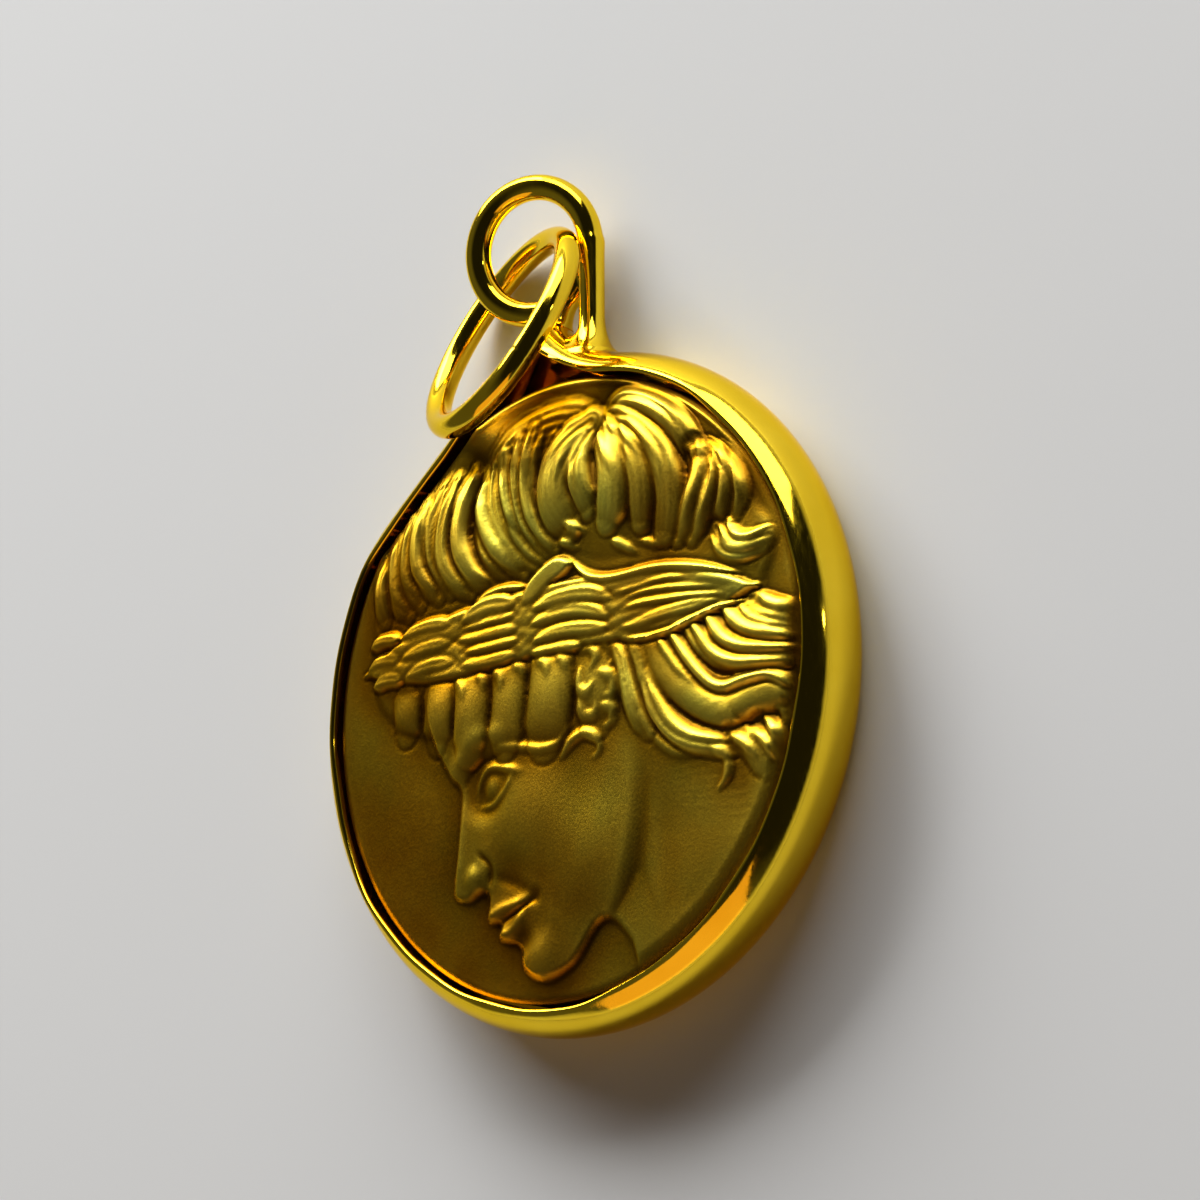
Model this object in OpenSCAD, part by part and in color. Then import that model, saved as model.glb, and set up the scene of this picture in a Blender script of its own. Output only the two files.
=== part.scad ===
// Coin pendant lying on its back with its face up and a jump ring in its hanging loop.
// +Z is the coin's face, +Y runs to the loop. The origin is on the coin's axis, in the back plane.

/* [Rim] */
// Radius of the lip's inner edge round the coin
lip_r = 10.5; // [10.4:0.1:12]
// Height from the back plane to the lip
rim_h = 2.8; // [2.6:0.1:3.2]
// How far the half-round outside stands out from the lip's inner edge
rim_bulge = 0.85; // [0.7:0.05:1.1]
// Width of the flat land along the lip
lip_land = 0.15; // [0.1:0.05:0.25]
// Thickness of the seat ledge behind the coin
ledge_t = 0.5; // [0.4:0.05:0.7]
// Width of the seat ledge
ledge_w = 0.7; // [0.5:0.1:1.2]

/* [Point] */
// Turn of the straight left flank away from the top
flank_turn = 33.4; // [32:0.2:35]
// How far the straight flank cuts inside the round
flank_cut = 0.38; // [0.3:0.02:0.4]
// Turn at which the hollow right flank leaves the round
hollow_turn = 15.9; // [15:0.1:17]
// Radius of the hollow right flank
hollow_r = 6.85; // [6.5:0.05:7]

/* [Loop] */
// Diameter of the loop's wire
wire_d = 0.87; // [0.7:0.01:1]
// Radius of the loop, measured to the middle of its wire
loop_r = 2.17; // [2.1:0.01:2.3]
// Place of the loop's centre to the left of the point
loop_left = 0.45; // [0.3:0.05:0.6]
// Rise of the loop's centre above the point
loop_rise = 3.75; // [3.7:0.01:3.8]
// Height of the loop's centre above the back plane
loop_z = 1.5; // [1.4:0.05:1.6]
// Lean of the loop out of the plane of the rim
loop_lean = 15.6; // [12:0.2:18]
// Direction that the loop's front face leans towards
loop_turn = -29.8; // [-40:0.2:-20]

/* [Coin] */
// Radius of the coin
coin_r = 10.35; // [10.2:0.05:10.4]
// Thickness of the coin's plate, without its relief
coin_t = 2; // [1.8:0.05:2.1]
// Height of the head and neck above the field
head_h = 0.35; // [0.25:0.05:0.4]
// Height of the highest roll of hair above the field
hair_h = 0.85; // [0.75:0.05:0.9]
// Height of the wreath above the field
wreath_h = 0.57; // [0.45:0.01:0.65]
// Forward tilt of the head
head_tilt = 20; // [15:1:25]

/* [Jump ring] */
// Diameter of the jump ring's wire
ring_wire_d = 0.87; // [0.7:0.01:0.9]
// Radius of the jump ring, measured to the middle of its wire
ring_r = 3.68; // [3.6:0.01:3.7]
// Tilt of the lying ring from the floor
ring_tilt = 32.2; // [32:0.1:32.4]
// Direction in which the lying ring's axis leans
ring_turn = 119.4; // [119:0.1:120]

/* [Hidden] */
$fn = 64;
gold = "goldenrod";
satin_gold = "darkgoldenrod";
eps = 0.01;

// Rim section: the circle that makes its half-round side passes the land's edge and the bulge
side_sag = rim_bulge - lip_land;
side_r = (pow(rim_h / 2, 2) + pow(side_sag, 2)) / (2 * side_sag);
ledge_r = lip_r - ledge_w;

// The point's two flanks: a straight line on the left and a hollow arc on the right
flank_d = lip_r - flank_cut;
flank_out = [-sin(flank_turn), cos(flank_turn)];
flank_along = [cos(flank_turn), sin(flank_turn)];
hollow_bite = 0.05;
hollow_c = (lip_r + hollow_r - hollow_bite) * [sin(hollow_turn), cos(hollow_turn)];

// Where the flanks meet, each pushed outwards by the same amount
function point_at(out) =
    let (h = flank_d + out - flank_out * hollow_c)
    hollow_c + flank_out * h - flank_along * sqrt(pow(hollow_r - out, 2) - h * h);
point_in = point_at(0);
point_out = point_at(rim_bulge);

// Loop, its straight strand down to the rim, and the solder round both feet
loop_c = [point_in[0] - loop_left, point_in[1] + loop_rise, loop_z];
strand_top = loop_c + [loop_r, -0.3, -0.5];
strand_foot = [point_in[0] + 1.7, point_in[1] - 0.65, rim_h / 2];
strand_flare_r = 0.85;
strand_flare_h = 1.5;
bead_r = 0.55;
bead_at = [point_out[0] - 0.05, point_out[1] + 0.2, 1.15];

// Coin: it lies on the ledge with a small gap, and its upper left edge is a little flat
coin_z = ledge_t + 0.05;
field_z = coin_z + coin_t;
flat_d = coin_r - 0.55;
relief_r = flat_d - 0.05;

// Head, in its own frame: forward, then up, from the middle of the head
head_at = [0.8, -0.5];
head_scale = 0.97;
HEAD = [
    // forward, up
    [4.2, 6.2],
    [5.9, 4.4],
    [6.5, 2.4],
    [6.4, 0.9],
    [6.2, 0.1],
    [7.2, -1.7],
    [8.0, -2.9],
    [7.5, -3.55],
    [6.6, -3.75],
    [7.0, -4.6],
    [6.55, -5.0],
    [6.8, -5.45],
    [6.1, -6.2],
    [6.25, -7.0],
    [5.5, -7.9],
    [4.1, -8.1],
    [2.4, -7.5],
    [1.7, -8.8],
    [1.4, -11.5],
    [-7.6, -10.6],
    [-7.0, -7.4],
    [-6.0, -5.4],
    [-6.0, -3.0],
    [-6.5, 0.0],
    [-6.5, 4.0],
    [-2.0, 7.5]
];

// Rolls of hair, each a pointed oval: its middle, the way it runs, its length, its width, and its
// height as a share of the highest roll's
ROLLS = [
    // x, y, turn, length, width, height
    [-7.6, 5.4, 87, 2.8, 1.2, 0.55],
    [-6.6, 5.8, 96, 3.6, 1.4, 0.59],
    [-5.5, 6.1, 95, 4.0, 1.4, 0.61],
    [-4.4, 6.3, 96, 4.5, 1.4, 0.63],
    [-3.3, 6.3, 99, 4.7, 1.5, 0.65],
    [-2.1, 6.3, 111, 4.8, 1.5, 0.68],
    [-1.2, 6.5, 110, 5.0, 1.4, 0.70],
    [-0.3, 6.7, 99, 5.0, 1.3, 0.72],
    [0.1, 8.9, 3, 4.8, 1.4, 0.50],
    [1.1, 6.7, 70, 4.1, 1.9, 0.96],
    [2.1, 6.9, 83, 3.6, 1.3, 0.92],
    [3.2, 6.6, 93, 4.0, 1.6, 1.00],
    [4.3, 6.3, 111, 4.6, 1.5, 0.98],
    [5.2, 6.3, 118, 5.4, 1.6, 0.94],
    [5.2, 7.8, 145, 5.0, 1.3, 0.80],
    [6.6, 4.9, 72, 3.4, 1.4, 0.78],
    [7.5, 4.8, 86, 3.2, 1.4, 0.72],
    [8.3, 4.7, 101, 2.8, 1.0, 0.62],
    [8.3, 2.9, 159, 2.6, 1.1, 0.60],
    [-7.0, 0.8, 78, 2.2, 1.5, 0.50],
    [-5.5, 0.5, 78, 2.8, 1.7, 0.55],
    [-3.9, 0.2, 82, 3.4, 1.8, 0.58],
    [-2.1, 0.1, 82, 3.6, 1.8, 0.60],
    [-0.2, 0.0, 78, 3.8, 2.2, 0.62],
    [1.6, -0.1, 87, 3.0, 1.4, 0.56],
    [2.8, -0.6, 100, 3.8, 1.4, 0.57],
    [4.2, -1.2, 118, 5.0, 1.4, 0.59],
    [6.2, -3.4, 150, 4.0, 1.1, 0.56],
    [5.6, -1.1, 134, 5.2, 1.5, 0.70],
    [7.9, -2.5, 165, 4.4, 1.4, 0.68],
    [7.6, -0.7, 147, 4.4, 1.2, 0.66],
    [8.7, 0.0, 152, 3.0, 1.1, 0.60],
    [8.0, -4.1, 131, 2.6, 1.2, 0.52]
];

// Wreath: leaves in three rows along a band that falls from the brow to the nape
band_from = [-8.7, 2.7];
band_fall = -5;
leaf_len = 3.9;
leaf_wid = 1.15;
leaf_step = 3.2;
leaf_rows = 3;
leaf_count = 5;
row_step = 0.8;

// Jump ring: it lies with one side on the floor and the other on the straight flank
ring_left = 1.31;
ring_past = 0.9;
ring_gap = 0.04;
ring_z = ring_wire_d / 2 + ring_r * sin(ring_tilt) + ring_gap;
ring_at = [point_in[0] - ring_left, point_in[1] + ring_past, ring_z];

// The circle that gives the rim its half-round side: x runs outwards from the lip's inner edge
module side_circle() {
    translate([rim_bulge - side_r, rim_h / 2]) circle(r = side_r);
}

// Everything on the coin's side of the straight flank, with the flank's half-round side as its face
module flank_block() {
    rotate(flank_turn) translate([-2 * lip_r, flank_d, 0])
        rotate([90, 0, 90]) linear_extrude(4 * lip_r) {
            side_circle();
            translate([-4 * lip_r, -rim_h]) square([4 * lip_r - rim_bulge / 2, 3 * rim_h]);
        }
}

// What the hollow flank takes away, with the flank's half-round side as its face
module hollow_block() {
    translate(hollow_c) rotate_extrude() difference() {
        translate([0, -rim_h]) square([hollow_r, 3 * rim_h]);
        translate([hollow_r, 0]) mirror([1, 0]) side_circle();
    }
}

// Plan of everything inside the lip's inner edge, the point included
module lip_plan() {
    difference() {
        union() {
            circle(r = lip_r);
            polygon([[0, 0], flank_out * flank_d, point_in + [0, 1], hollow_c]);
        }
        rotate(flank_turn) translate([-2 * lip_r, flank_d]) square([4 * lip_r, lip_r]);
        translate(hollow_c) circle(r = hollow_r);
    }
}

// The half-round rim with its point, open inside the lip down to the seat that the coin lies on
module rim() {
    difference() {
        intersection() {
            union() {
                rotate_extrude() translate([lip_r, 0]) side_circle();
                translate([0, 0, -rim_h]) linear_extrude(3 * rim_h)
                    polygon([[0, 0], flank_out * 1.5 * lip_r, point_out + [0, 2], hollow_c]);
            }
            flank_block();
            cylinder(r = 2 * lip_r, h = rim_h);
        }
        hollow_block();
        translate([0, 0, ledge_t]) linear_extrude(rim_h) lip_plan();
        translate([0, 0, -rim_h]) cylinder(r = ledge_r, h = 3 * rim_h);
    }
}

// A round rod between two points, with one radius at each end
module rod(from, to, from_r, to_r) {
    run = to - from;
    translate(from)
        rotate([0, acos(run[2] / norm(run)), atan2(run[1], run[0])])
            cylinder(r1 = from_r, r2 = to_r, h = norm(run));
}

// A ring of round wire with its axis leaning by tilt towards turn
module wire_ring(r, wire, tilt, turn) {
    rotate([0, tilt, turn]) rotate_extrude() translate([r, 0]) circle(d = wire);
}

module hanging_loop() {
    up = (strand_top - strand_foot) / norm(strand_top - strand_foot);
    translate(loop_c) wire_ring(loop_r, wire_d, loop_lean, loop_turn);
    rod(strand_foot, strand_top, wire_d / 2, wire_d / 2);
    rod(strand_foot, strand_foot + up * strand_flare_h, strand_flare_r, wire_d / 2 - eps);
    translate(bead_at) rotate([90, 0, 0]) sphere(r = bead_r);
}

module bezel() {
    color(gold) {
        rim();
        hanging_loop();
    }
}

// A pointed oval, such as a leaf or a roll of hair
module oval(length, width) {
    r = (pow(length / 2, 2) + pow(width / 2, 2)) / width;
    intersection() {
        translate([0, r - width / 2]) circle(r = r);
        translate([0, width / 2 - r]) circle(r = r);
    }
}

module head_plan() {
    translate(head_at) rotate(head_tilt)
        polygon([for (p = HEAD) head_scale * [-p[0], p[1]]]);
}

module wreath_plan() {
    translate(band_from) rotate(band_fall)
        for (row = [0 : leaf_rows - 1], i = [0 : leaf_count - 1])
            translate([(i + 0.5 * (row % 2) + 0.4) * leaf_step, (row - 1) * row_step])
                rotate(8 * (1 - row)) oval(leaf_len, leaf_wid);
}

// The relief: the head, the hair over it and the wreath over the hair
module relief() {
    intersection() {
        cylinder(r = relief_r, h = field_z + rim_h);
        union() {
            translate([0, 0, coin_z + eps]) linear_extrude(coin_t + head_h) head_plan();
            for (r = ROLLS)
                translate([r[0], r[1], coin_z + eps]) rotate(r[2])
                    linear_extrude(coin_t + hair_h * r[5]) oval(r[3], r[4]);
            translate([0, 0, coin_z + eps]) linear_extrude(coin_t + wreath_h) wreath_plan();
        }
    }
}

module coin() {
    color(satin_gold) {
        difference() {
            translate([0, 0, coin_z]) cylinder(r = coin_r, h = coin_t);
            rotate(flank_turn) translate([-coin_r, flat_d, 0]) cube([2 * coin_r, coin_r, 2 * rim_h]);
        }
        relief();
    }
}

module jump_ring() {
    color(gold) translate(ring_at) wire_ring(ring_r, ring_wire_d, ring_tilt, ring_turn);
}

bezel();
coin();
jump_ring();
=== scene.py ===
import math

import bmesh
import bpy
import numpy as np
from mathutils import Matrix, Vector


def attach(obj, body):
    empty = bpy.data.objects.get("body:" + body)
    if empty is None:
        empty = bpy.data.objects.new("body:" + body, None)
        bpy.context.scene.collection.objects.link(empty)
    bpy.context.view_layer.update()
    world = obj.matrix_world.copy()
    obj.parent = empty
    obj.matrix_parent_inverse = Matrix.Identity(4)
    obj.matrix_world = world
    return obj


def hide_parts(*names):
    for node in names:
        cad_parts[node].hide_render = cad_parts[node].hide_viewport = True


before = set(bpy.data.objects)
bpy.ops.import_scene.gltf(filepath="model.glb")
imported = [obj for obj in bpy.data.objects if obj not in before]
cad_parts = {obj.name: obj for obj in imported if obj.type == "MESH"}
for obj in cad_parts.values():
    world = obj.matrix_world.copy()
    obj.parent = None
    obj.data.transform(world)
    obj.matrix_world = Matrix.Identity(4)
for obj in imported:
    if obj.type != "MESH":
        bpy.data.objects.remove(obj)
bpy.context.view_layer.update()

# Camera: it looks down on the coin's face from the lower right with the loop at the top of the picture,
# through a long lens that fills the picture with the pendant.
eye = Vector((0.11667, -0.05068, 0.12875))
aim = Vector((0.00107, 0.00288, 0.00156))
picture_up = Vector((0.2473, 0.9566, 0.1541))
to_eye = (eye - aim).normalized()
to_right = picture_up.cross(to_eye).normalized()
camera_data = bpy.data.cameras.new("camera")
camera_data.lens = 165
camera_data.clip_start = 0.01
camera = bpy.data.objects.new("camera", camera_data)
turned = Matrix((to_right, to_eye.cross(to_right), to_eye)).transposed().to_4x4()
camera.matrix_world = Matrix.Translation(eye) @ turned
bpy.context.scene.collection.objects.link(camera)
bpy.context.scene.camera = camera

# Bezel: a high-polish gold rim with a half-round side, bent up to a point at the top where a loop of
# round wire is soldered on. It is drawn in millimetres, spun once round the coin, then pulled to its point.
mm = 0.001
lip_r = 10.5
side_r = 1.75
side_at = (-0.9, 1.4)
edge_r = 0.12
ledge_t = 0.5
ledge_w = 0.7
rim_columns = 540
flank_turn = math.radians(123.4)
flank_d = 10.12
flank_blend = 0.35
hollow_turn = math.radians(74.1)
hollow_r = 6.85
hollow_c = (lip_r + hollow_r) * np.array([math.cos(hollow_turn), math.sin(hollow_turn)])
crease_turn = math.radians(91)
crease_reach = 0.12
pinch_turn = math.radians(115)
pinch_reach = 0.09
pinch_depth = 0.1
lip_reach = 0.5

# Slow waves that pressing leaves in the lip: how deep, how many round the rim, and where they start
LIP_WAVES = [(0.035, 7, 1.0), (0.025, 12, 2.4), (0.015, 23, 0.0)]


def draw_line(bm, corner, x, z):
    """Draws the section on from one corner to the next, in the plane of X and Z."""
    made = bmesh.ops.extrude_vert_indiv(bm, verts=[corner])["verts"][0]
    made.co = (x, 0, z)
    return made


def draw_arc(bm, corner, x, z, turn, steps):
    """Draws the section on round a centre."""
    made = bmesh.ops.spin(bm, geom=[corner], cent=(x, 0, z), axis=(0, 1, 0), angle=turn, steps=steps)
    return [v for v in made["geom_last"] if isinstance(v, bmesh.types.BMVert)][0]


def read_points(mesh):
    """A mesh's points as rows of X, Y and Z."""
    flat = np.empty(len(mesh.vertices) * 3)
    mesh.vertices.foreach_get("co", flat)
    return flat.reshape(-1, 3)


def write_points(mesh, points):
    """Puts the rows back as the mesh's points."""
    mesh.vertices.foreach_set("co", np.ascontiguousarray(points, float).ravel())
    mesh.update()


def ease(t):
    """Runs smoothly from 0 to 1 as t does."""
    t = np.clip(t, 0, 1)
    return t * t * (3 - 2 * t)


def rim_outline(turn, out):
    """How far from the axis the rim's outline lies at each turn, pushed outwards by out."""
    round_r = lip_r + out
    facing = np.maximum(np.cos(turn - flank_turn), 0.2)
    flank = (flank_d + out) / facing
    along = hollow_c[0] * np.cos(turn) + hollow_c[1] * np.sin(turn)
    room = along ** 2 - hollow_c @ hollow_c + (hollow_r - out) ** 2
    hollow = np.where(room > 0, along - np.sqrt(np.maximum(room, 0)), flank)
    near = np.maximum(flank_blend - np.abs(round_r - flank), 0) / flank_blend
    cut_round = np.minimum(round_r, flank) - near ** 2 * flank_blend / 4
    in_point = (turn > hollow_turn) & (turn < flank_turn)
    return np.where(in_point, np.minimum(flank, hollow), np.where(turn < hollow_turn, round_r, cut_round))


def point_turn(out):
    """The turn at which the two flanks meet, each pushed outwards by out."""
    flank_out = np.array([math.cos(flank_turn), math.sin(flank_turn)])
    flank_along = np.array([math.sin(flank_turn), -math.cos(flank_turn)])
    h = flank_d + out - flank_out @ hollow_c
    back = np.sqrt((hollow_r - out) ** 2 - h * h)
    meet = hollow_c[:, None] + np.outer(flank_out, h) - np.outer(flank_along, back)
    return np.arctan2(meet[1], meet[0])


def polished_rim():
    """The rim: its section spun once round the coin, with its points then moved out to the pointed top."""
    crest = (edge_r, side_at[1] + math.sqrt((side_r - edge_r) ** 2 - (edge_r - side_at[0]) ** 2))
    foot = (side_at[0] + math.sqrt((side_r - edge_r) ** 2 - (side_at[1] - edge_r) ** 2), edge_r)
    crest_turn = math.atan2(crest[1] - side_at[1], crest[0] - side_at[0])
    foot_turn = math.atan2(side_at[1] - foot[1], foot[0] - side_at[0])
    bm = bmesh.new()
    wall_foot = bm.verts.new((lip_r, 0, ledge_t))
    corner = draw_line(bm, wall_foot, lip_r, crest[1] / 2)
    corner = draw_line(bm, corner, lip_r, crest[1])
    corner = draw_arc(bm, corner, lip_r + crest[0], crest[1], math.pi - crest_turn, steps=7)
    corner = draw_arc(bm, corner, lip_r + side_at[0], side_at[1], crest_turn + foot_turn, steps=26)
    corner = draw_arc(bm, corner, lip_r + foot[0], foot[1], math.pi / 2 - foot_turn, steps=4)
    corner = draw_line(bm, corner, lip_r - ledge_w, 0)
    corner = draw_line(bm, corner, lip_r - ledge_w, ledge_t)
    bm.edges.new((corner, wall_foot))
    bmesh.ops.spin(bm, geom=bm.verts[:] + bm.edges[:], cent=(0, 0, 0), axis=(0, 0, 1), angle=math.tau,
                   steps=rim_columns, use_merge=True)
    bmesh.ops.recalc_face_normals(bm, faces=bm.faces)
    mesh = bpy.data.meshes.new("rim")
    bm.to_mesh(mesh)
    bm.free()
    points = read_points(mesh)
    turn = np.arctan2(points[:, 1], points[:, 0]) % math.tau
    out = np.hypot(points[:, 0], points[:, 1]) - lip_r
    step = math.tau / rim_columns
    crease = round(crease_turn / step) * step
    near_crease = np.clip(1 - np.abs(turn - crease) / crease_reach, 0, 1)
    turn = turn + (point_turn(np.maximum(out, 0)) - crease) * near_crease
    r = rim_outline(turn, np.maximum(out, 0))
    at_lip = ease(1 - out / lip_reach)
    wave = sum(depth * np.sin(count * turn + start) for depth, count, start in LIP_WAVES)
    pinch = pinch_depth * np.exp(-((turn - pinch_turn) / pinch_reach) ** 2)
    r = r + at_lip * (wave - pinch)
    seat = np.clip(-out / ledge_w, 0, 1)
    r = r + seat * (lip_r - ledge_w - r)
    points[:, 0] = r * np.cos(turn)
    points[:, 1] = r * np.sin(turn)
    write_points(mesh, points)
    return mesh


loop_c = np.array([-0.707, 15.702, 1.5])
loop_axis = np.array([0.2334, -0.1336, 0.9632])
loop_r = 2.17
wire_r = 0.435
strand_top = np.array([1.463, 15.402, 1.0])
strand_foot = np.array([1.443, 11.302, 1.4])
flare_r = 0.8
flare_h = 1.5
bead_at = np.array([-0.141, 13.28, 1.15])
bead_r = 0.5
ring_melt = 0.12
bead_melt = 0.3
rim_melt = 0.45
solder_skin = 0.012
solder_reach = 0.25
blank_foot_r = 1.45
blank_foot_up = 0.35
voxel = 0.055
back_clear = 0.02


def melt(a, b, run):
    """Joins two distances as solder does, with a fillet of that run."""
    mix = np.clip(0.5 + 0.5 * (b - a) / run, 0, 1)
    return b + (a - b) * mix - run * mix * (1 - mix)


def rim_side(p):
    """Distance from the rim's half-round side near its point."""
    flank = p[:, 0] * math.cos(flank_turn) + p[:, 1] * math.sin(flank_turn) - flank_d
    hollow = hollow_r - np.hypot(p[:, 0] - hollow_c[0], p[:, 1] - hollow_c[1])
    return np.hypot(np.maximum(flank, hollow) - side_at[0], p[:, 2] - side_at[1]) - side_r


def loop_surface(p):
    """Distance from the loop, its strand and the solder that runs out onto the rim."""
    rel = p - loop_c
    rise = rel @ loop_axis
    ring = np.hypot(np.linalg.norm(rel - rise[:, None] * loop_axis, axis=1) - loop_r, rise) - wire_r
    run = strand_top - strand_foot
    t = np.clip((p - strand_foot) @ run / (run @ run), 0, 1)
    spread = np.clip(1 - t * np.linalg.norm(run) / flare_h, 0, 1)
    thick = wire_r + (flare_r - wire_r) * spread ** 2
    strand = np.linalg.norm(p - strand_foot - t[:, None] * run, axis=1) - thick
    bead = np.linalg.norm(p - bead_at, axis=1) - bead_r
    metal = melt(melt(ring, strand, ring_melt), bead, bead_melt)
    return melt(metal, rim_side(p) + solder_skin, rim_melt)


def soldered_loop():
    """The loop, its strand and its solder: rough blanks made one skin, then drawn onto the true surface."""
    bm = bmesh.new()
    upright = Matrix.Rotation(math.pi / 2, 4, "X")
    section = Matrix.Translation((loop_r, 0, 0)) @ upright
    wire = bmesh.ops.create_circle(bm, segments=24, radius=wire_r, matrix=section)["verts"]
    rim = list({e for v in wire for e in v.link_edges})
    bmesh.ops.spin(bm, geom=wire + rim, cent=(0, 0, 0), axis=(0, 0, 1), angle=math.tau, steps=96,
                   use_merge=True)
    lean = Vector((0, 0, 1)).rotation_difference(Vector(loop_axis)).to_matrix().to_4x4()
    bmesh.ops.transform(bm, matrix=Matrix.Translation(loop_c) @ lean, verts=bm.verts)
    run = Vector(strand_top - strand_foot)
    along = Vector((0, 0, 1)).rotation_difference(run).to_matrix().to_4x4()
    middle = Matrix.Translation(Vector(strand_foot) + run / 2) @ along
    bmesh.ops.create_cone(bm, cap_ends=True, segments=32, radius1=wire_r, radius2=wire_r, depth=run.length,
                          matrix=middle)
    flare = Matrix.Translation(Vector(strand_foot) + run.normalized() * blank_foot_up) @ along
    bmesh.ops.create_cone(bm, cap_ends=True, segments=32, radius1=blank_foot_r, radius2=wire_r,
                          depth=flare_h, matrix=flare)
    bmesh.ops.create_icosphere(bm, subdivisions=3, radius=1.5 * bead_r, matrix=Matrix.Translation(bead_at))
    bmesh.ops.recalc_face_normals(bm, faces=bm.faces)
    rough = bpy.data.meshes.new("loop")
    bm.to_mesh(rough)
    bm.free()
    blank = bpy.data.objects.new("loop", rough)
    bpy.context.scene.collection.objects.link(blank)
    remesh = blank.modifiers.new("remesh", "REMESH")
    remesh.mode = "VOXEL"
    remesh.voxel_size = voxel
    mesh = bpy.data.meshes.new_from_object(blank.evaluated_get(bpy.context.evaluated_depsgraph_get()))
    bpy.data.objects.remove(blank)
    for smooth_pass in range(3):
        points = read_points(mesh)
        outside = rim_side(points) > -solder_reach
        for step in range(5):
            p = points[outside]
            d = loop_surface(p)
            e = 1e-4
            grad = np.stack([(loop_surface(p + e * axis) - d) / e for axis in np.eye(3)], axis=1)
            points[outside] = p - np.clip(d / (grad ** 2).sum(1), -0.1, 0.1)[:, None] * grad
        points[:, 2] = np.maximum(points[:, 2], back_clear)
        write_points(mesh, points)
        if smooth_pass < 2:
            bm = bmesh.new()
            bm.from_mesh(mesh)
            for again in range(3):
                bmesh.ops.smooth_vert(bm, verts=bm.verts, factor=0.5, use_axis_x=True, use_axis_y=True,
                                      use_axis_z=True)
            bm.to_mesh(mesh)
            bm.free()
    return mesh


def finished_piece(name, meshes, sharp):
    """Joins meshes drawn in millimetres into one smooth-shaded piece in metres."""
    bm = bmesh.new()
    for part in meshes:
        bm.from_mesh(part)
    bmesh.ops.scale(bm, vec=(mm, mm, mm), verts=bm.verts)
    mesh = bpy.data.meshes.new(name)
    bm.to_mesh(mesh)
    bm.free()
    mesh.shade_smooth()
    mesh.set_sharp_from_angle(angle=math.radians(sharp))
    piece = bpy.data.objects.new(name, mesh)
    bpy.context.scene.collection.objects.link(piece)
    return piece


class Finish:
    """A metal finish, built node by node over a piece's own coordinates."""

    def __init__(self, name):
        self.material = bpy.data.materials.new(name)
        self.material.use_nodes = True
        self.nodes = self.material.node_tree.nodes
        self.shader = self.nodes["Principled BSDF"]
        self.shader.inputs["Metallic"].default_value = 1.0
        self.place = self.nodes.new("ShaderNodeTexCoord").outputs["Object"]

    def join(self, source, target):
        self.material.node_tree.links.new(source, target)

    def noise(self, size, detail=2.0, stretch=(1, 1, 1)):
        """Noise with features of that size in metres."""
        mapping = self.nodes.new("ShaderNodeMapping")
        mapping.inputs["Scale"].default_value = stretch
        self.join(self.place, mapping.inputs["Vector"])
        node = self.nodes.new("ShaderNodeTexNoise")
        node.inputs["Scale"].default_value = 1 / size
        node.inputs["Detail"].default_value = detail
        self.join(mapping.outputs["Vector"], node.inputs["Vector"])
        return node.outputs["Fac"]

    def scale(self, source, low, high, from_low=0.3, from_high=0.7):
        node = self.nodes.new("ShaderNodeMapRange")
        node.inputs["From Min"].default_value = from_low
        node.inputs["From Max"].default_value = from_high
        node.inputs["To Min"].default_value = low
        node.inputs["To Max"].default_value = high
        self.join(source, node.inputs["Value"])
        return node.outputs["Result"]

    def ramp(self, source, stops):
        node = self.nodes.new("ShaderNodeValToRGB")
        ramp = node.color_ramp
        ramp.elements[0].position, ramp.elements[0].color = stops[0][0], (*stops[0][1], 1)
        ramp.elements[1].position, ramp.elements[1].color = stops[-1][0], (*stops[-1][1], 1)
        for at, colour in stops[1:-1]:
            ramp.elements.new(at).color = (*colour, 1)
        self.join(source, node.inputs["Fac"])
        return node.outputs["Color"]

    def blend(self, factor, a, b, kind="MIX"):
        node = self.nodes.new("ShaderNodeMix")
        node.data_type = "RGBA"
        node.blend_type = kind
        for source, name in ((factor, "Factor_Float"), (a, "A_Color"), (b, "B_Color")):
            socket = next(s for s in node.inputs if s.identifier == name)
            if isinstance(source, bpy.types.NodeSocket):
                self.join(source, socket)
            else:
                socket.default_value = source
        return next(s for s in node.outputs if s.identifier == "Result_Color")

    def bump(self, source, depth, strength, before=None):
        node = self.nodes.new("ShaderNodeBump")
        node.inputs["Distance"].default_value = depth
        node.inputs["Strength"].default_value = strength
        self.join(source, node.inputs["Height"])
        if before:
            self.join(before, node.inputs["Normal"])
        return node.outputs["Normal"]

    def set(self, **sockets):
        for name, source in sockets.items():
            socket = self.shader.inputs[name.replace("_", " ")]
            if isinstance(source, bpy.types.NodeSocket):
                self.join(source, socket)
            else:
                socket.default_value = source


def polished_gold():
    """High-polish yellow gold, golden at its edges too, with soft buffing marks and a few hairlines."""
    finish = Finish("polished_gold")
    buffing = finish.noise(2.5 * mm, 3.0)
    hairlines = finish.noise(0.12 * mm, 4.0, stretch=(1, 0.12, 1))
    colour = finish.ramp(buffing, [(0.3, (0.92, 0.61, 0.022)), (0.7, (1.0, 0.69, 0.035))])
    finish.set(
        Base_Color=colour,
        Roughness=finish.scale(hairlines, 0.05, 0.13),
        Specular_Tint=(1.0, 0.88, 0.50, 1),
        Normal=finish.bump(hairlines, 0.004 * mm, 0.25, finish.bump(buffing, 0.03 * mm, 0.3)),
    )
    return finish.material


gold = polished_gold()
bezel = finished_piece("bezel_polished", [polished_rim(), soldered_loop()], 40)
bezel.data.materials.append(gold)
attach(bezel, "root")
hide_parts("bezel")

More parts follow.
